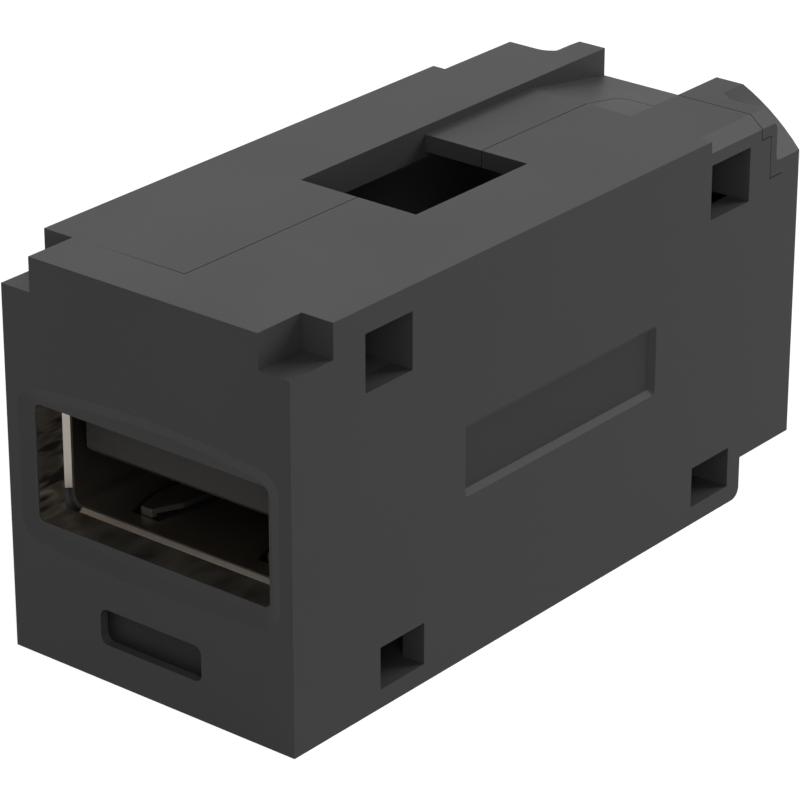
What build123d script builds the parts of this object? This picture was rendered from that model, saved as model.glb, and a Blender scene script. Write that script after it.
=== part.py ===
from build123d import *
import os

# USB A coupler module that snaps into a faceplate. Millimetres, +Z up, the front port faces -Y.
# The origin is under the middle of the casing, on the plane that it rests on.

os.makedirs("parts", exist_ok=True)

# Casing outline
width = 16.2
depth = 36.6
height = 19.05
side = width / 2
front = -depth / 2
back = depth / 2
side_wall = 1.2
top_wall = 1.55
bottom_wall = 0.91
end_wall = 1.85
notch_width = 1.69
notch_depth = 2.725
notch_floor = 17.4
notch_wall = 1.0

# Rear end: a step under it, shoulders that fall away on both sides, long chamfers on the top edges
step_y = back - 4.0
step_z = 2.07
body_back = back - 1.92
shoulder_x = 4.8
shoulder_foot = 16.55
shoulder_bulge = 0.21
shoulder_corner = 1.0
chamfer_start = front + 29.38
chamfer_x = 0.7
chamfer_z = 0.57

# Top window, and the shallow channel that runs from it down to the rear edge
window_half = 3.28
window_front = front + 14.0
window_back = front + 22.78
channel_floor = height - 0.42
channel_underside = height - 1.25
ramp_start = front + 30.7
ramp_end_z = 17.66

# Windows in the right side, and the ledges behind the upper pair
upper_sill = 15.19
upper_head = 17.87
lower_sill = bottom_wall
lower_head = 2.94
side_windows = (
    (front + 4.75, front + 7.84, upper_sill, upper_head),
    (front + 29.45, front + 32.52, upper_sill, upper_head),
    (front + 5.68, front + 8.66, lower_sill, lower_head),
    (front + 28.63, front + 31.60, lower_sill, lower_head),
)

# Ports
port_z = 9.32
opening_width = 13.28
opening_height = 5.6
opening_corner = 0.32
dish_half = 7.39
dish_depth = 0.25
dish_slope = 0.6
lip_depth = 0.33
collar_sheet = 0.2
icon_width = 5.84
icon_height = 1.72
icon_z = 2.69
icon_depth = 0.5

# Label recess in the right side, with sloping walls
label_middle = (front + 18.43, 9.6)
label_length = 14.0
label_height = 3.45
label_depth = 0.21
label_slope = 0.29

# Receptacles
tube_width = 12.5
tube_height = 5.12
sheet = 0.25
tube_front = front + 2.1
tube_back = front + 13.85
tongue_width = 11.1
tongue_bottom = 9.38
tongue_top = 11.22
tongue_front = front + 2.25
block_front = front + 11.2
contact_sheet = 0.2
contact_places = (-3.5, -1.0, 1.0, 3.5)
leaf_places = (-3.0, 4.3)
leaf_rise = 0.38

# Circuit board under the receptacles
board_top = port_z - tube_height / 2 - sheet
board_bottom = board_top - 1.6
board_half_length = 14.3
board_half_width = 6.5

# Seam between the two shells of the casing
seam_gap = 0.05
seam_front = front + 2.75
seam_closed_x = -5.9
seam_back = front + 33.44
seam_corner = 0.8
lap_upper_y = front + 34.2
lap_upper_z = 17.93
lap_z = 15.82
lap_gap_end = front + 35.2


def right_shell_space(grow):
    """The space on the right shell's side of the seam, grown where the seam gapes."""
    closed_y = seam_front - seam_gap / 2
    with BuildPart() as space:
        with BuildSketch(Plane.XY.offset(-1)) as plan:
            with BuildLine():
                Polyline(
                    (-side - 1, front - 1),
                    (side + 1, front - 1),
                    (side + 1, seam_back + grow),
                    (-grow, seam_back + grow),
                    (-grow, seam_front + grow),
                    (seam_closed_x, closed_y),
                    (-side - 1, closed_y),
                    close=True,
                )
            make_face()
            corner = plan.vertices().group_by(Axis.Y)[-1].sort_by(Axis.X)[0]
            fillet(corner, seam_corner)
        extrude(amount=height + 2)
        # The right side wall laps past the rear block, lower down than at its top edge.
        with BuildSketch(Plane.YZ.offset(side - side_wall - grow)):
            with BuildLine():
                Polyline(
                    (seam_back - 1, -1),
                    (back + 1, -1),
                    (back + 1, lap_z),
                    (lap_gap_end, lap_z),
                    (lap_gap_end, lap_z + grow),
                    (lap_upper_y + grow, lap_z + grow),
                    (lap_upper_y + grow, lap_upper_z + grow),
                    (seam_back - 1, lap_upper_z + grow),
                    close=True,
                )
            make_face()
        extrude(amount=side_wall + 1)
    return space.part


# Shallow dish around a port: straight sides, bowed top and bottom, sloping walls.
with BuildPart() as dish:
    for inward, inset in ((-0.05, -0.12), (dish_depth, dish_slope)):
        with BuildSketch(Plane.XZ.offset(-front - inward)) as outline:
            half = dish_half - inset
            with BuildLine():
                top = ThreePointArc(
                    (-half, 12.8 - inset), (0, 13.36 - inset), (half, 12.8 - inset)
                )
                bottom = ThreePointArc(
                    (-half, 5.7 + inset), (0, 5.31 + inset), (half, 5.7 + inset)
                )
                Line(top @ 0, bottom @ 0)
                Line(top @ 1, bottom @ 1)
            make_face()
            fillet(outline.vertices(), 1.05 - 0.4 * inset)
    loft()

# Opening of a port: a plastic rim, then the wider seat of the metal collar.
with BuildPart() as opening:
    with BuildSketch(Plane.XZ.offset(-front)):
        with Locations((0, port_z)):
            RectangleRounded(opening_width, opening_height, opening_corner)
    extrude(amount=-lip_depth)
    with BuildSketch(Plane.XZ.offset(-front - lip_depth)):
        with Locations((0, port_z)):
            RectangleRounded(
                opening_width + 2 * collar_sheet,
                opening_height + 2 * collar_sheet,
                opening_corner + collar_sheet,
            )
    extrude(amount=-(end_wall - lip_depth))

# Bare label recess: a shallow pocket whose walls slope outwards.
with BuildPart() as label_recess:
    for inward, inset, corner in ((-0.05, -0.069, 0.3), (label_depth, label_slope, 0.05)):
        with BuildSketch(Plane.YZ.offset(side - inward)):
            with Locations(label_middle):
                RectangleRounded(
                    label_length - 2 * inset, label_height - 2 * inset, corner
                )
    loft()

# The space above a shoulder, with a rounded corner between the body and the tongue.
with BuildPart() as shoulder_space:
    with BuildSketch(Plane.XZ.offset(-body_back)):
        with BuildLine():
            middle = (
                (shoulder_x + side) / 2 + shoulder_bulge * 0.6,
                (height + shoulder_foot) / 2 + shoulder_bulge * 0.8,
            )
            slope = ThreePointArc((shoulder_x, height), middle, (side, shoulder_foot))
            Polyline(
                slope @ 1,
                (side + 1, shoulder_foot),
                (side + 1, height + 1),
                (shoulder_x, height + 1),
                slope @ 0,
            )
        make_face()
    extrude(amount=-(back - body_back + 1))
    with BuildSketch(Plane.XY.offset(shoulder_foot - 1)) as shoulder_plan:
        with Locations((shoulder_x, body_back)):
            Rectangle(side, back, align=(Align.MIN, Align.MIN))
        corner = shoulder_plan.vertices().group_by(Axis.Y)[0].sort_by(Axis.X)[0]
        fillet(corner, shoulder_corner)
    extrude(amount=height, mode=Mode.INTERSECT)

# The whole casing, before it is parted along the seam.
with BuildPart() as casing:
    with BuildSketch(Plane.YZ) as side_view:
        with BuildLine():
            Polyline(
                (front, 0),
                (step_y, 0),
                (step_y, step_z),
                (back, step_z),
                (back, height),
                (front, height),
                close=True,
            )
        make_face()
        step_corners = side_view.vertices().filter_by_position(
            Axis.X, step_y - 0.01, step_y + 0.01
        )
        fillet(step_corners.sort_by(Axis.Y)[0], 0.55)
        fillet(step_corners.sort_by(Axis.Y)[-1], 0.2)
    extrude(amount=side, both=True)

    # Shoulders behind the body, on both sides of the two tongues
    add(shoulder_space.part, mode=Mode.SUBTRACT)
    mirror(shoulder_space.part, about=Plane.YZ, mode=Mode.SUBTRACT)

    # Chamfers along the rear part of the top edges
    with BuildSketch(Plane.XZ.offset(-chamfer_start)):
        with BuildLine():
            Polyline(
                (side - chamfer_x, height),
                (side, height - chamfer_z),
                (side + 1, height - chamfer_z),
                (side + 1, height + 1),
                (side - chamfer_x, height + 1),
                close=True,
            )
        make_face()
        mirror(about=Plane.YZ)
    extrude(amount=-(body_back - chamfer_start), mode=Mode.SUBTRACT)

    # Rounded rear top edge of the body above the shoulders, and a rounded foot
    body_end = casing.edges().filter_by_position(
        Axis.Y, body_back - 0.01, body_back + 0.01
    )
    fillet(body_end.filter_by_position(Axis.Z, height - chamfer_z - 0.01, height + 1), 0.3)
    foot = casing.edges().filter_by_position(
        Axis.Y, body_back - 0.01, body_back + 0.01
    )
    fillet(foot.filter_by(GeomType.CIRCLE), 0.2)

    # Channel and ramp behind the window
    with BuildSketch(Plane.YZ):
        with BuildLine():
            Polyline(
                (window_back - 0.1, channel_floor),
                (ramp_start, channel_floor),
                (back, ramp_end_z),
                (back + 1, ramp_end_z),
                (back + 1, height + 1),
                (window_back - 0.1, height + 1),
                close=True,
            )
        make_face()
    extrude(amount=window_half, both=True, mode=Mode.SUBTRACT)

    # Hollow inside, lower under the roof at the rear end and higher above the step
    with BuildSketch(Plane.YZ):
        with BuildLine():
            Polyline(
                (front + end_wall, bottom_wall),
                (step_y - 1.0, bottom_wall),
                (step_y - 1.0, step_z + 1.0),
                (back - end_wall, step_z + 1.0),
                (back - end_wall, upper_sill),
                (side_windows[1][1], upper_sill),
                (side_windows[1][1], height - top_wall),
                (front + end_wall, height - top_wall),
                close=True,
            )
        make_face()
    extrude(amount=side - side_wall, both=True, mode=Mode.SUBTRACT)

    # Top window
    with BuildSketch(Plane.XY.offset(height - top_wall)):
        with Locations((-window_half, window_front)):
            Rectangle(
                2 * window_half,
                window_back - window_front,
                align=(Align.MIN, Align.MIN),
            )
    extrude(amount=top_wall + 1, mode=Mode.SUBTRACT)

    # Thinner roof under the channel, behind the window
    with BuildSketch(Plane.XY.offset(height - top_wall)):
        with Locations((-window_half, window_back - 0.1)):
            Rectangle(
                2 * window_half,
                ramp_start - 1.2 - window_back,
                align=(Align.MIN, Align.MIN),
            )
    extrude(amount=channel_underside - (height - top_wall), mode=Mode.SUBTRACT)

    # Windows in the right side
    with BuildSketch(Plane.YZ.offset(side - side_wall)):
        for y_low, y_high, sill, head in side_windows:
            with Locations((y_low, sill)):
                Rectangle(y_high - y_low, head - sill, align=(Align.MIN, Align.MIN))
    extrude(amount=side_wall + 1, mode=Mode.SUBTRACT)

    # Ledge behind the front upper window
    with BuildSketch(Plane.XY.offset(upper_sill)):
        with Locations((side - side_wall, side_windows[0][1])):
            Rectangle(3.2, 1.2, align=(Align.MAX, Align.MIN))
    extrude(amount=height - top_wall - upper_sill)

    # Thicker corners under the front notches
    with BuildSketch(Plane.XY.offset(notch_floor - notch_wall)):
        for x in (-side + side_wall, side - notch_width - notch_wall):
            with Locations((x, front + end_wall)):
                Rectangle(
                    notch_width + notch_wall - side_wall,
                    notch_depth + notch_wall - end_wall,
                    align=(Align.MIN, Align.MIN),
                )
    extrude(amount=height - top_wall - notch_floor + notch_wall)

    # Front top corner notches
    with BuildSketch(Plane.XY.offset(notch_floor)):
        for x in (-side, side - notch_width):
            with Locations((x, front)):
                Rectangle(notch_width, notch_depth, align=(Align.MIN, Align.MIN))
    extrude(amount=height, mode=Mode.SUBTRACT)

    # Ribs that carry the circuit board
    with BuildSketch(Plane.XY.offset(bottom_wall)):
        for y in (front + 11.2, back - 11.2):
            with Locations((side - side_wall, y)):
                Rectangle(4.6, 1.1, align=(Align.MAX, Align.CENTER))
        mirror(about=Plane.YZ)
    extrude(amount=board_bottom - bottom_wall)

    # Dishes and openings of both ports
    add(dish.part, mode=Mode.SUBTRACT)
    add(opening.part, mode=Mode.SUBTRACT)
    mirror(dish.part, about=Plane.XZ, mode=Mode.SUBTRACT)
    mirror(opening.part, about=Plane.XZ, mode=Mode.SUBTRACT)

    # Icon slot under the front port
    with BuildSketch(Plane.XZ.offset(-front)):
        with Locations((0, icon_z)):
            RectangleRounded(icon_width, icon_height, 0.4)
    extrude(amount=-icon_depth, mode=Mode.SUBTRACT)

    add(label_recess.part, mode=Mode.SUBTRACT)

# Right shell: the front wall, the right half and its side wall to the rear end
with BuildPart() as right_shell:
    add(casing.part)
    add(right_shell_space(-seam_gap / 2), mode=Mode.INTERSECT)

# Left shell: the left half and the rear block with the rear port
with BuildPart() as left_shell:
    add(casing.part)
    add(right_shell_space(seam_gap / 2), mode=Mode.SUBTRACT)

# Metal collar that lines the front opening
with BuildPart() as front_collar:
    with BuildSketch(Plane.XZ.offset(-front - lip_depth)):
        with Locations((0, port_z)):
            RectangleRounded(
                opening_width + 2 * collar_sheet,
                opening_height + 2 * collar_sheet,
                opening_corner + collar_sheet,
            )
            RectangleRounded(
                opening_width, opening_height, opening_corner, mode=Mode.SUBTRACT
            )
    extrude(amount=-(end_wall - lip_depth))

# Spring leaf of a receptacle: narrow at its folded tip, and rising from its root in the floor
with BuildPart() as leaf:
    with BuildSketch(Plane.YZ):
        with BuildLine():
            Polyline(
                (tube_front + 6.9, board_top),
                (tube_front + 6.9, board_top + sheet),
                (tube_front + 6.2, board_top + sheet),
                (tube_front + 1.05, board_top + sheet + leaf_rise),
                (tube_front + 1.05, board_top + sheet - 0.03),
                (tube_front + 1.3, board_top + sheet - 0.03),
                (tube_front + 1.3, board_top + leaf_rise - 0.02),
                (tube_front + 6.2, board_top),
                close=True,
            )
        make_face()
    extrude(amount=0.85, both=True)
    with BuildSketch(Plane.XY.offset(board_top - 1)) as leaf_plan:
        with BuildLine():
            Polyline(
                (-0.28, tube_front + 1.0),
                (0.28, tube_front + 1.0),
                (0.8, tube_front + 2.6),
                (0.8, tube_front + 7.0),
                (-0.8, tube_front + 7.0),
                (-0.8, tube_front + 2.6),
                close=True,
            )
        make_face()
        fillet(leaf_plan.vertices().group_by(Axis.Y)[0], 0.15)
    extrude(amount=4, mode=Mode.INTERSECT)

with BuildPart() as roof_leaf:
    mirror(leaf.part, about=Plane.XY.offset(port_z))

# Stamped shell of the front receptacle
with BuildPart() as front_receptacle_shell:
    with BuildSketch(Plane.XZ.offset(-tube_front)):
        with Locations((0, port_z)):
            RectangleRounded(tube_width + 2 * sheet, tube_height + 2 * sheet, 0.75)
    extrude(amount=-(tube_back - tube_front))
    with BuildSketch(Plane.XZ.offset(-tube_front)):
        with Locations((0, port_z)):
            RectangleRounded(tube_width, tube_height, 0.5)
    extrude(amount=-(tube_back - sheet - tube_front), mode=Mode.SUBTRACT)

    # Opening in its floor for the contact tails
    with BuildSketch(Plane.XY.offset(board_top - 1)):
        with Locations((0, tube_back - sheet)):
            Rectangle(9.0, 1.1, align=(Align.CENTER, Align.MAX))
    extrude(amount=2, mode=Mode.SUBTRACT)

    # Flared lips around the mouth, open at the corners
    with BuildSketch(Plane.XY.offset(port_z)):
        with BuildLine():
            Polyline(
                (tube_width / 2, tube_front + 0.12),
                (opening_width / 2 - 0.02, front + end_wall + 0.02),
                (opening_width / 2 + 0.16, front + end_wall + 0.16),
                (tube_width / 2 + sheet, tube_front + 0.3),
                close=True,
            )
        make_face()
        mirror(about=Plane.YZ)
    extrude(amount=1.85, both=True)
    with BuildSketch(Plane.YZ):
        for up in (1, -1):
            with BuildLine():
                Polyline(
                    (tube_front + 0.12, port_z + up * tube_height / 2),
                    (
                        front + end_wall + 0.02,
                        port_z + up * (opening_height / 2 - 0.02),
                    ),
                    (
                        front + end_wall + 0.16,
                        port_z + up * (opening_height / 2 + 0.16),
                    ),
                    (tube_front + 0.3, port_z + up * (tube_height / 2 + sheet)),
                    close=True,
                )
            make_face()
    extrude(amount=5.8, both=True)

    # Two spring leaves in the floor and two in the roof, cut free but for their roots
    with BuildSketch(Plane.XY.offset(port_z)):
        for x in leaf_places:
            with BuildLine():
                Polyline(
                    (x - 0.82, tube_front + 0.92),
                    (x + 0.82, tube_front + 0.92),
                    (x + 1.4, tube_front + 2.8),
                    (x + 1.4, tube_front + 6.6),
                    (x - 1.4, tube_front + 6.6),
                    (x - 1.4, tube_front + 2.8),
                    close=True,
                )
            make_face()
    extrude(amount=tube_height, both=True, mode=Mode.SUBTRACT)
    for x in leaf_places:
        with Locations((x, 0, 0)):
            add(leaf.part)
            add(roof_leaf.part)

    # Tabs into the board
    with BuildSketch(Plane.XY.offset(board_bottom)):
        for x in (-(tube_width + sheet) / 2 + 0.6, (tube_width + sheet) / 2 - 0.6):
            with Locations((x, tube_front + 9.4)):
                Rectangle(sheet, 1.4)
    extrude(amount=board_top + sheet - board_bottom)

# Moulded insulator with the tongue that carries the contacts on its underside
with BuildPart() as front_insulator:
    with BuildSketch(Plane.YZ):
        with BuildLine():
            Polyline(
                (tongue_front, tongue_bottom),
                (block_front, tongue_bottom),
                (block_front, board_top + sheet),
                (tube_back - 1.2, board_top + sheet),
                (tube_back - 1.2, port_z + tube_height / 2),
                (block_front, port_z + tube_height / 2),
                (block_front, tongue_top),
                (tongue_front, tongue_top),
                close=True,
            )
        make_face()
    extrude(amount=tongue_width / 2, both=True)
    nose = front_insulator.edges().filter_by(Axis.X).group_by(Axis.Y)[0]
    chamfer(nose, 0.25)
    # Grooves for the contacts
    with BuildSketch(Plane.XZ.offset(-tongue_front - 0.5)):
        with Locations(*[(x, tongue_bottom) for x in contact_places]):
            Rectangle(1.1, contact_sheet, align=(Align.CENTER, Align.MIN))
    extrude(amount=-14, mode=Mode.SUBTRACT)

# Contact strip: a sprung bump near its front, then back through the insulator and down as a tail
with BuildPart() as contact:
    with BuildSketch(Plane.YZ):
        with BuildLine():
            start = Line(
                (tongue_front + 0.6, tongue_bottom + contact_sheet),
                (tongue_front + 1.3, tongue_bottom + contact_sheet),
            )
            bump = ThreePointArc(
                start @ 1,
                (tongue_front + 2.3, tongue_bottom - 0.2),
                (tongue_front + 3.3, tongue_bottom + contact_sheet),
            )
            Line(bump @ 1, (tube_back - 0.7, tongue_bottom + contact_sheet))
            Line(
                (tube_back - 0.7, tongue_bottom + contact_sheet),
                (tube_back - 0.7, board_bottom - 0.4),
            )
            offset(amount=contact_sheet, side=Side.RIGHT)
        make_face()
    extrude(amount=0.45, both=True)

# Board with holes for the contact tails and slots for the tabs
with BuildPart() as circuit_board:
    with BuildSketch(Plane.XY.offset(board_bottom)):
        Rectangle(2 * board_half_width, 2 * board_half_length)
        tail_y = -(tube_back - 0.8)
        for y in (-tail_y, tail_y):
            with Locations(*[(x, y) for x in contact_places]):
                Circle(0.6, mode=Mode.SUBTRACT)
        tab_y = -(tube_front + 9.4)
        for y in (-tab_y, tab_y):
            with GridLocations(tube_width + sheet - 1.2, 1, 2, 1):
                with Locations((0, y)):
                    SlotOverall(1.8, 0.5, rotation=90, mode=Mode.SUBTRACT)
    extrude(amount=board_top - board_bottom)

# The rear receptacle is the front one turned round. Its collar, insulator and contacts are
# symmetric across X, so mirroring them comes to the same.
with BuildPart() as rear_collar:
    mirror(front_collar.part, about=Plane.XZ)

with BuildPart() as rear_receptacle_shell:
    add(front_receptacle_shell.part.rotate(Axis.Z, 180))

with BuildPart() as rear_insulator:
    mirror(front_insulator.part, about=Plane.XZ)

right_shell.part.label = "right_shell"
export_step(right_shell.part, "parts/right_shell.step")

left_shell.part.label = "left_shell"
export_step(left_shell.part, "parts/left_shell.step")

front_collar.part.label = "front_collar"
export_step(front_collar.part, "parts/front_collar.step")

rear_collar.part.label = "rear_collar"
export_step(rear_collar.part, "parts/rear_collar.step")

front_receptacle_shell.part.label = "front_receptacle_shell"
export_step(front_receptacle_shell.part, "parts/front_receptacle_shell.step")

rear_receptacle_shell.part.label = "rear_receptacle_shell"
export_step(rear_receptacle_shell.part, "parts/rear_receptacle_shell.step")

front_insulator.part.label = "front_insulator"
export_step(front_insulator.part, "parts/front_insulator.step")

rear_insulator.part.label = "rear_insulator"
export_step(rear_insulator.part, "parts/rear_insulator.step")

circuit_board.part.label = "circuit_board"
export_step(circuit_board.part, "parts/circuit_board.step")

for number, x in enumerate(contact_places, start=1):
    with BuildPart() as front_contact:
        with Locations((x, 0, 0)):
            add(contact.part)
    front_contact.part.label = f"front_contact_{number}"
    export_step(front_contact.part, f"parts/front_contact_{number}.step")

    with BuildPart() as rear_contact:
        mirror(front_contact.part, about=Plane.XZ)
    rear_contact.part.label = f"rear_contact_{number}"
    export_step(rear_contact.part, f"parts/rear_contact_{number}.step")
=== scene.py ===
import math

import bmesh
import bpy
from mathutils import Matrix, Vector

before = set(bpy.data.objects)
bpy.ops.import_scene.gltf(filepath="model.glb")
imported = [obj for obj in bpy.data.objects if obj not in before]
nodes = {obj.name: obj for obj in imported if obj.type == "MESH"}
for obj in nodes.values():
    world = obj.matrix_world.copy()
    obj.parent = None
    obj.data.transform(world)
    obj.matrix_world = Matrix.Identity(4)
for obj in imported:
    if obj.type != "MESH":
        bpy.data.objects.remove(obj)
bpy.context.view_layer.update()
scene = bpy.context.scene

# Camera: a long lens from the front right, a little above the module, as in a catalogue
# picture, so that its long edges hardly converge.
camera_data = bpy.data.cameras.new("catalogue_camera")
camera_data.sensor_width = 36
camera_data.lens = 175.55
camera_data.clip_start = 0.01
camera_data.clip_end = 10
camera = bpy.data.objects.new("catalogue_camera", camera_data)
camera.location = (0.10181, -0.12617, 0.08167)
camera.rotation_euler = (math.radians(65.5), 0, math.radians(39.207))
scene.collection.objects.link(camera)
scene.camera = camera

# Light: round softboxes 350 mm from the module, given by their bearing from the front port
# round to the right, their height angle and their power. The strong one stands behind on
# the right and rims the long edges, and the low ones reach into the port and the windows.
softboxes = (
    ("low_front_right_softbox", 45, 8, 0.481),
    ("low_left_softbox", 270, 8, 0.452),
    ("front_softbox", 0, 40, 0.276),
    ("front_right_softbox", 45, 40, 0.275),
    ("back_right_softbox", 150, 35, 1.179),
    ("back_left_softbox", 225, 40, 0.204),
)
softbox_distance = 0.35
softbox_width = 0.20
module_middle = Vector((0, 0, 0.009))
for lamp_name, bearing, height_angle, power in softboxes:
    around, up = math.radians(bearing), math.radians(height_angle)
    towards = Vector(
        (math.sin(around) * math.cos(up), -math.cos(around) * math.cos(up), math.sin(up))
    )
    lamp_data = bpy.data.lights.new(lamp_name, "AREA")
    lamp_data.shape = "DISK"
    lamp_data.size = softbox_width
    lamp_data.energy = power
    lamp = bpy.data.objects.new(lamp_name, lamp_data)
    lamp.location = module_middle + towards * softbox_distance
    lamp.rotation_euler = towards.to_track_quat("Z", "Y").to_euler()
    scene.collection.objects.link(lamp)


def add_node(tree, kind, settings=None, links=None, **values):
    """Adds a shader node, sets its properties and input values, and links its inputs."""
    node = tree.nodes.new(kind)
    for name, value in (settings or {}).items():
        setattr(node, name, value)
    for name, value in values.items():
        node.inputs[name.replace("_", " ")].default_value = value
    for name, output in (links or {}).items():
        tree.links.new(output, node.inputs[name])
    return node


def linear(code):
    """A colour written as #rrggbb, as the linear values that the shaders take."""
    made = []
    for start in (1, 3, 5):
        level = int(code[start : start + 2], 16) / 255
        made.append(level / 12.92 if level < 0.04045 else ((level + 0.055) / 1.055) ** 2.4)
    return (*made, 1.0)


# White studio round the module: the camera and the shiny surfaces see plain white, and what
# it adds to the light on the module is dimmer.
world = bpy.data.worlds.new("white_studio")
scene.world = world
world.use_nodes = True
tree = world.node_tree
tree.nodes.clear()
output = tree.nodes.new("ShaderNodeOutputWorld")
path = add_node(tree, "ShaderNodeLightPath")
seen = add_node(
    tree,
    "ShaderNodeMath",
    {"operation": "MAXIMUM"},
    {0: path.outputs["Is Camera Ray"], 1: path.outputs["Is Transmission Ray"]},
)
seen = add_node(
    tree,
    "ShaderNodeMath",
    {"operation": "MAXIMUM"},
    {0: seen.outputs[0], 1: path.outputs["Is Glossy Ray"]},
)
level = add_node(
    tree, "ShaderNodeMapRange", links={"Value": seen.outputs[0]}, To_Min=0.1, To_Max=1.0
)
background = add_node(
    tree, "ShaderNodeBackground", links={"Strength": level.outputs[0]}, Color=(1, 1, 1, 1)
)
tree.links.new(background.outputs[0], output.inputs["Surface"])


def new_material(name):
    """An empty node material with its output."""
    material = bpy.data.materials.new(name)
    material.use_nodes = True
    material.node_tree.nodes.clear()
    output = material.node_tree.nodes.new("ShaderNodeOutputMaterial")
    return material, material.node_tree, output


# Floor: pale matt paper. The camera and the shiny surfaces see it as white, with a faint
# shadow under the module.
floor_reach = 2.0
floor_mesh = bpy.data.meshes.new("paper_floor")
floor_form = bmesh.new()
bmesh.ops.create_grid(floor_form, x_segments=1, y_segments=1, size=floor_reach)
floor_form.to_mesh(floor_mesh)
floor_form.free()
floor = bpy.data.objects.new("paper_floor", floor_mesh)
scene.collection.objects.link(floor)
paper, tree, output = new_material("pale_matt_paper")
path = add_node(tree, "ShaderNodeLightPath")
matt = add_node(tree, "ShaderNodeBsdfDiffuse", Color=linear("#d8d8d8"))
faint = add_node(tree, "ShaderNodeBsdfDiffuse", Color=linear("#6a6a6a"))
glow = add_node(tree, "ShaderNodeEmission", Color=(1, 1, 1, 1), Strength=0.93)
white = add_node(tree, "ShaderNodeAddShader", links={0: faint.outputs[0], 1: glow.outputs[0]})
seen = add_node(
    tree,
    "ShaderNodeMath",
    {"operation": "MAXIMUM"},
    {0: path.outputs["Is Camera Ray"], 1: path.outputs["Is Glossy Ray"]},
)
mixed = add_node(
    tree,
    "ShaderNodeMixShader",
    links={"Fac": seen.outputs[0], 1: matt.outputs[0], 2: white.outputs[0]},
)
tree.links.new(mixed.outputs[0], output.inputs["Surface"])
floor_mesh.materials.append(paper)


def dress(names, material):
    """Gives nodes of the frame one material."""
    for name in names:
        nodes[name].data.materials.clear()
        nodes[name].data.materials.append(material)


# Casing: two halves moulded in near-black flame-retardant ABS and snapped together along a
# fine seam. The tool was blasted very finely, which leaves an even satin with hardly any
# grain. The floors of the two recesses are painted darker as painted shade.
# Most of the inside is painted paler as painted light inside the casing.
grain_size = 0.00012
cloud_size = 0.006
black_abs, tree, output = new_material("satin_black_moulded_abs")
place = add_node(tree, "ShaderNodeTexCoord")
axes = add_node(tree, "ShaderNodeSeparateXYZ", links={"Vector": place.outputs["Object"]})
# The blasted grain is about 0.03 mm, drawn at 0.12 mm so that it shows.
grain = add_node(
    tree,
    "ShaderNodeTexNoise",
    links={"Vector": place.outputs["Object"]},
    Scale=1 / grain_size,
    Detail=2.0,
)
# Slow flow clouds, about 6 mm across
cloud = add_node(
    tree,
    "ShaderNodeTexNoise",
    links={"Vector": place.outputs["Object"]},
    Scale=1 / cloud_size,
    Detail=1.0,
)
sheen = add_node(
    tree, "ShaderNodeMapRange", links={"Value": cloud.outputs["Fac"]}, To_Min=0.46, To_Max=0.54
)
bump = add_node(
    tree,
    "ShaderNodeBump",
    links={"Height": grain.outputs["Fac"]},
    Strength=0.05,
    Distance=0.00001,
)
clouded = add_node(
    tree, "ShaderNodeMix", {"data_type": "RGBA"}, {"Factor": cloud.outputs["Fac"]}
)
clouded.inputs[6].default_value = linear("#2d2d2d")
clouded.inputs[7].default_value = linear("#313131")
# Painted shade on the two recess floors and painted light on the inside, with their colours,
# found
# by their place in the casing: axis, middle and reach either way, in metres
painted_shade_and_light_places = (
    # Painted shade: the icon slot's floor and the label recess's floor are darker.
    ("#151515", ((0, 0.0, 0.00300), (1, -0.01780, 0.00006), (2, 0.00269, 0.00090))),
    ("#242424", ((0, 0.00789, 0.00006), (1, 0.00013, 0.00670), (2, 0.00960, 0.00143))),
    # Painted light: most of the inside is paler.
    ("#4a4a4a", ((0, -0.00166, 0.00526), (1, 0.0, 0.01640), (2, 0.00915, 0.00830))),
)
colour = clouded.outputs[2]
for code, spans in painted_shade_and_light_places:
    there = None
    for axis, middle, reach in spans:
        within = add_node(
            tree, "ShaderNodeMath", {"operation": "COMPARE"}, {0: axes.outputs[axis]}
        )
        within.inputs[1].default_value = middle
        within.inputs[2].default_value = reach
        if there is None:
            there = within
        else:
            there = add_node(
                tree,
                "ShaderNodeMath",
                {"operation": "MULTIPLY"},
                {0: there.outputs[0], 1: within.outputs[0]},
            )
    painted_tone = add_node(
        tree, "ShaderNodeMix", {"data_type": "RGBA"}, {"Factor": there.outputs[0]}
    )
    tree.links.new(colour, painted_tone.inputs[6])
    painted_tone.inputs[7].default_value = linear(code)
    colour = painted_tone.outputs[2]
plastic = add_node(
    tree,
    "ShaderNodeBsdfPrincipled",
    links={"Base Color": colour, "Roughness": sheen.outputs[0], "Normal": bump.outputs[0]},
    IOR=1.2,
)
tree.links.new(plastic.outputs[0], output.inputs["Surface"])
dress(("right_shell", "left_shell"), black_abs)

# Collars: steel sheet with satin nickel plate, drawn to a rectangular ring that lines each
# opening. The drawing left scores into the depth of its walls, which break up what it
# mirrors. Along the scores the colour is painted from dark to pale as painted reflection,
# strongest on the short walls and mostly dark on the long ones.
score_spacing = 0.0005
satin_nickel, tree, output = new_material("satin_nickel_plated_drawn_steel")
place = add_node(tree, "ShaderNodeTexCoord")
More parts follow.
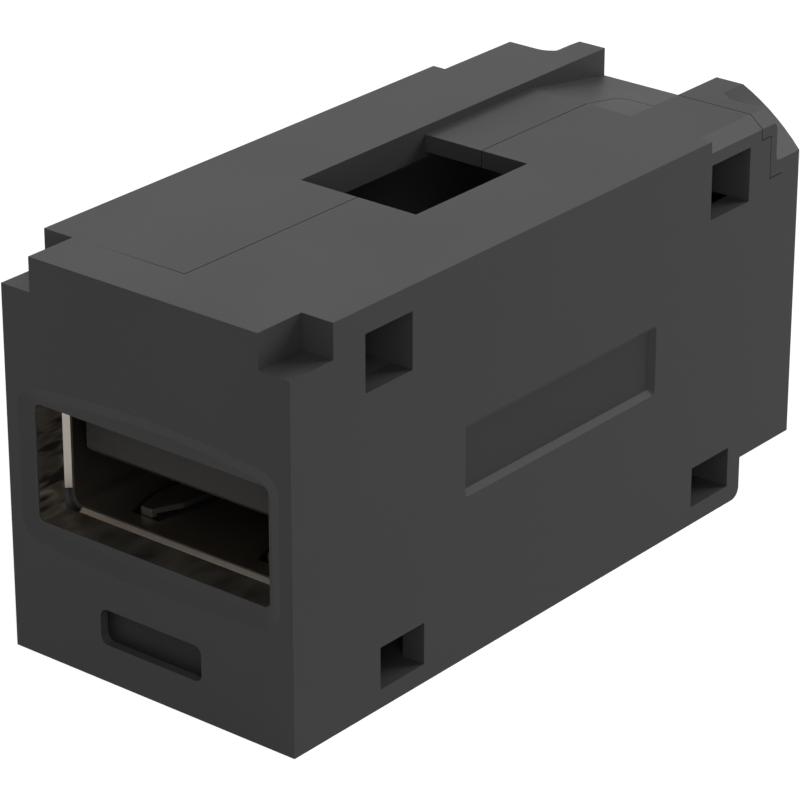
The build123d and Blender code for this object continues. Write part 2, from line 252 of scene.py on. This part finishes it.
# Scores six times as long as they are apart. The turn only picks another part of the noise.
drawn_out = add_node(
    tree,
    "ShaderNodeMapping",
    links={"Vector": place.outputs["Object"]},
    Rotation=(math.radians(-35), 0, math.radians(25)),
    Scale=(0.35, 0.17, 1),
)
scores = add_node(
    tree,
    "ShaderNodeTexNoise",
    links={"Vector": drawn_out.outputs[0]},
    Scale=1 / score_spacing,
    Detail=2.0,
)
long_wall = add_node(
    tree,
    "ShaderNodeMapRange",
    links={"Value": scores.outputs["Fac"]},
    From_Min=0.34,
    From_Max=0.66,
    To_Min=0.02,
    To_Max=0.28,
)
short_wall = add_node(
    tree,
    "ShaderNodeMapRange",
    links={"Value": scores.outputs["Fac"]},
    From_Min=0.40,
    From_Max=0.60,
)
facing = add_node(tree, "ShaderNodeSeparateXYZ", links={"Vector": place.outputs["Normal"]})
aside = add_node(tree, "ShaderNodeMath", {"operation": "ABSOLUTE"}, {0: facing.outputs[0]})
painted_reflection_streaks = add_node(tree, "ShaderNodeMix", {"data_type": "FLOAT"}, {"Factor": aside.outputs[0]})
tree.links.new(long_wall.outputs[0], painted_reflection_streaks.inputs[2])
tree.links.new(short_wall.outputs[0], painted_reflection_streaks.inputs[3])
# Painted reflection: along the scores the base colour runs from near black to pale, mostly dark
# on the long walls.
plate_and_painted_reflection = add_node(tree, "ShaderNodeMix", {"data_type": "RGBA"}, {"Factor": painted_reflection_streaks.outputs[0]})
plate_and_painted_reflection.inputs[6].default_value = linear("#35322e")
plate_and_painted_reflection.inputs[7].default_value = linear("#c2baac")
roughness = add_node(
    tree, "ShaderNodeMapRange", links={"Value": painted_reflection_streaks.outputs[0]}, To_Min=0.5, To_Max=0.3
)
bump = add_node(
    tree,
    "ShaderNodeBump",
    links={"Height": scores.outputs["Fac"]},
    Strength=0.3,
    Distance=0.0001,
)
metal = add_node(
    tree,
    "ShaderNodeBsdfPrincipled",
    links={
        "Base Color": plate_and_painted_reflection.outputs[2],
        "Roughness": roughness.outputs[0],
        "Normal": bump.outputs[0],
    },
    Metallic=1.0,
)
tree.links.new(metal.outputs[0], output.inputs["Surface"])
dress(("front_collar", "rear_collar"), satin_nickel)

# Receptacle shells: spring steel sheet with nickel plate, blanked, folded to a tube and
# flared round the mouth. The press left faint marks along the tube. Its cut edges, which
# carry no plate, are dark. Its outside behind the flare is painted dark grey as painted
# shade, so that nothing glints through the windows.
mark_spacing = 0.00025
flare_start = 0.016
flare_back = 0.01625
leaf_reach = 0.006
tube_height_middle = 0.00932
tube_half_width = 0.0064
tube_half_height = 0.0027
nickel, tree, output = new_material("nickel_plated_stamped_steel")
place = add_node(tree, "ShaderNodeTexCoord")
axes = add_node(tree, "ShaderNodeSeparateXYZ", links={"Vector": place.outputs["Object"]})
facing = add_node(tree, "ShaderNodeSeparateXYZ", links={"Vector": place.outputs["Normal"]})
# Marks ten times as long, along the tube, as they are apart
stretch = add_node(
    tree, "ShaderNodeMapping", links={"Vector": place.outputs["Object"]}, Scale=(1, 0.1, 1)
)
marks = add_node(
    tree,
    "ShaderNodeTexNoise",
    links={"Vector": stretch.outputs[0]},
    Scale=1 / mark_spacing,
    Detail=1.0,
)
sheen = add_node(
    tree, "ShaderNodeMapRange", links={"Value": marks.outputs["Fac"]}, To_Min=0.27, To_Max=0.34
)
bump = add_node(
    tree,
    "ShaderNodeBump",
    links={"Height": marks.outputs["Fac"]},
    Strength=0.02,
    Distance=0.00002,
)
# Cut edges face along the tube further in than the back of the flare, and to the side
# round the leaves, which lie near the tube's middle.
depth = add_node(tree, "ShaderNodeMath", {"operation": "ABSOLUTE"}, {0: axes.outputs[1]})
inner = add_node(tree, "ShaderNodeMath", {"operation": "LESS_THAN"}, {0: depth.outputs[0]})
inner.inputs[1].default_value = flare_back
along = add_node(tree, "ShaderNodeMath", {"operation": "ABSOLUTE"}, {0: facing.outputs[1]})
end_on = add_node(
    tree, "ShaderNodeMath", {"operation": "GREATER_THAN"}, {0: along.outputs[0]}
)
end_on.inputs[1].default_value = 0.9
aside = add_node(tree, "ShaderNodeMath", {"operation": "ABSOLUTE"}, {0: facing.outputs[0]})
sideways = add_node(
    tree, "ShaderNodeMath", {"operation": "GREATER_THAN"}, {0: aside.outputs[0]}
)
sideways.inputs[1].default_value = 0.5
central = add_node(tree, "ShaderNodeMath", {"operation": "COMPARE"}, {0: axes.outputs[0]})
central.inputs[1].default_value = 0.0
central.inputs[2].default_value = leaf_reach
leaf_edge = add_node(
    tree,
    "ShaderNodeMath",
    {"operation": "MULTIPLY"},
    {0: sideways.outputs[0], 1: central.outputs[0]},
)
edge = add_node(
    tree,
    "ShaderNodeMath",
    {"operation": "MAXIMUM"},
    {0: end_on.outputs[0], 1: leaf_edge.outputs[0]},
)
cut = add_node(
    tree, "ShaderNodeMath", {"operation": "MULTIPLY"}, {0: inner.outputs[0], 1: edge.outputs[0]}
)
plated = add_node(tree, "ShaderNodeMix", {"data_type": "RGBA"}, {"Factor": cut.outputs[0]})
plated.inputs[6].default_value = linear("#968f86")
plated.inputs[7].default_value = linear("#403e3c")
roughness = add_node(tree, "ShaderNodeMix", {"data_type": "FLOAT"}, {"Factor": cut.outputs[0]})
tree.links.new(sheen.outputs[0], roughness.inputs[2])
roughness.inputs[3].default_value = 0.6
# The outside is what isn't in the bore, which ends half way through the sheet. Its
# painted shade ends where the flare starts.
bore = None
for axis, middle, reach in ((0, 0.0, tube_half_width), (2, tube_height_middle, tube_half_height)):
    within = add_node(
        tree, "ShaderNodeMath", {"operation": "COMPARE"}, {0: axes.outputs[axis]}
    )
    within.inputs[1].default_value = middle
    within.inputs[2].default_value = reach
    if bore is None:
        bore = within
    else:
        bore = add_node(
            tree,
            "ShaderNodeMath",
            {"operation": "MULTIPLY"},
            {0: bore.outputs[0], 1: within.outputs[0]},
        )
unflared = add_node(tree, "ShaderNodeMath", {"operation": "LESS_THAN"}, {0: depth.outputs[0]})
unflared.inputs[1].default_value = flare_start
outside = add_node(
    tree,
    "ShaderNodeMath",
    {"operation": "SUBTRACT", "use_clamp": True},
    {0: unflared.outputs[0], 1: bore.outputs[0]},
)
# Painted shade: the outside of the tube is dark grey.
painted_shade_outside = add_node(
    tree, "ShaderNodeMix", {"data_type": "RGBA"}, {"Factor": outside.outputs[0]}
)
tree.links.new(plated.outputs[2], painted_shade_outside.inputs[6])
painted_shade_outside.inputs[7].default_value = linear("#242424")
metal = add_node(
    tree,
    "ShaderNodeBsdfPrincipled",
    links={
        "Base Color": painted_shade_outside.outputs[2],
        "Roughness": roughness.outputs[0],
        "Normal": bump.outputs[0],
    },
    Metallic=1.0,
)
tree.links.new(metal.outputs[0], output.inputs["Surface"])
dress(("front_receptacle_shell", "rear_receptacle_shell"), nickel)

# Insulators: black glass-filled polyester, moulded round the contacts. The glass fibres lie
# just under the skin as fine pale flecks.
fleck_size = 0.00008
black_pbt, tree, output = new_material("black_glass_filled_polyester")
place = add_node(tree, "ShaderNodeTexCoord")
# Fibres are 0.01 mm thick, drawn at 0.08 mm so that they show.
fibres = add_node(
    tree,
    "ShaderNodeTexNoise",
    links={"Vector": place.outputs["Object"]},
    Scale=1 / fleck_size,
    Detail=3.0,
)
flecked = add_node(
    tree, "ShaderNodeMix", {"data_type": "RGBA"}, {"Factor": fibres.outputs["Fac"]}
)
flecked.inputs[6].default_value = linear("#1d1b19")
flecked.inputs[7].default_value = linear("#2c2a28")
skin = add_node(
    tree, "ShaderNodeMapRange", links={"Value": fibres.outputs["Fac"]}, To_Min=0.4, To_Max=0.55
)
bump = add_node(
    tree,
    "ShaderNodeBump",
    links={"Height": fibres.outputs["Fac"]},
    Strength=0.08,
    Distance=0.00001,
)
plastic = add_node(
    tree,
    "ShaderNodeBsdfPrincipled",
    links={
        "Base Color": flecked.outputs[2],
        "Roughness": skin.outputs[0],
        "Normal": bump.outputs[0],
    },
    IOR=1.5,
    Specular_IOR_Level=0.12,
)
tree.links.new(plastic.outputs[0], output.inputs["Surface"])
dress(("front_insulator", "rear_insulator"), black_pbt)

# Contacts: phosphor bronze strips, four in each receptacle, pressed into the insulator and
# plated with gold over nickel. The plating is thin, so it dulls in faint streaks.
streak_spacing = 0.00015
gold, tree, output = new_material("gold_plated_phosphor_bronze")
place = add_node(tree, "ShaderNodeTexCoord")
stretch = add_node(
    tree, "ShaderNodeMapping", links={"Vector": place.outputs["Object"]}, Scale=(1, 0.15, 0.15)
)
# Streaks across the strip's width, drawn out along it
streaks = add_node(
    tree,
    "ShaderNodeTexNoise",
    links={"Vector": stretch.outputs[0]},
    Scale=1 / streak_spacing,
    Detail=2.0,
)
tint = add_node(tree, "ShaderNodeMix", {"data_type": "RGBA"}, {"Factor": streaks.outputs["Fac"]})
tint.inputs[6].default_value = linear("#d9b45e")
tint.inputs[7].default_value = linear("#c99c48")
dulled = add_node(
    tree, "ShaderNodeMapRange", links={"Value": streaks.outputs["Fac"]}, To_Min=0.16, To_Max=0.36
)
metal = add_node(
    tree,
    "ShaderNodeBsdfPrincipled",
    links={"Base Color": tint.outputs[2], "Roughness": dulled.outputs[0]},
    Metallic=1.0,
)
tree.links.new(metal.outputs[0], output.inputs["Surface"])
dress(
    [f"{end}_contact_{number}" for end in ("front", "rear") for number in (1, 2, 3, 4)], gold
)

# Board: glass epoxy 1.6 mm thick under black solder mask, which joins the two
# receptacles. The copper tracks stand a little proud under the mask, and the routed edges
# show the bare laminate.
track_spacing = 0.0022
mask, tree, output = new_material("black_solder_mask_on_glass_epoxy")
place = add_node(tree, "ShaderNodeTexCoord")
# Tracks side by side along the board. A wave texture makes 20 waves for each tau of scale.
tracks = add_node(
    tree,
    "ShaderNodeTexWave",
    {"bands_direction": "X"},
    {"Vector": place.outputs["Object"]},
    Scale=math.tau / track_spacing / 20,
    Distortion=0.0,
)
raised = add_node(
    tree,
    "ShaderNodeMapRange",
    links={"Value": tracks.outputs["Fac"]},
    From_Min=0.62,
    From_Max=0.72,
)
masked = add_node(tree, "ShaderNodeMix", {"data_type": "RGBA"}, {"Factor": raised.outputs[0]})
masked.inputs[6].default_value = linear("#1a1c1b")
masked.inputs[7].default_value = linear("#242826")
facing = add_node(tree, "ShaderNodeSeparateXYZ", links={"Vector": place.outputs["Normal"]})
flat = add_node(tree, "ShaderNodeMath", {"operation": "ABSOLUTE"}, {0: facing.outputs[2]})
edged = add_node(tree, "ShaderNodeMix", {"data_type": "RGBA"}, {"Factor": flat.outputs[0]})
edged.inputs[6].default_value = linear("#24221c")
tree.links.new(masked.outputs[2], edged.inputs[7])
bump = add_node(
    tree,
    "ShaderNodeBump",
    links={"Height": raised.outputs[0]},
    Strength=0.4,
    Distance=0.00003,
)
resist = add_node(
    tree,
    "ShaderNodeBsdfPrincipled",
    links={"Base Color": edged.outputs[2], "Normal": bump.outputs[0]},
    Roughness=0.32,
)
tree.links.new(resist.outputs[0], output.inputs["Surface"])
dress(("circuit_board",), mask)

scene.view_settings.view_transform = "Standard"
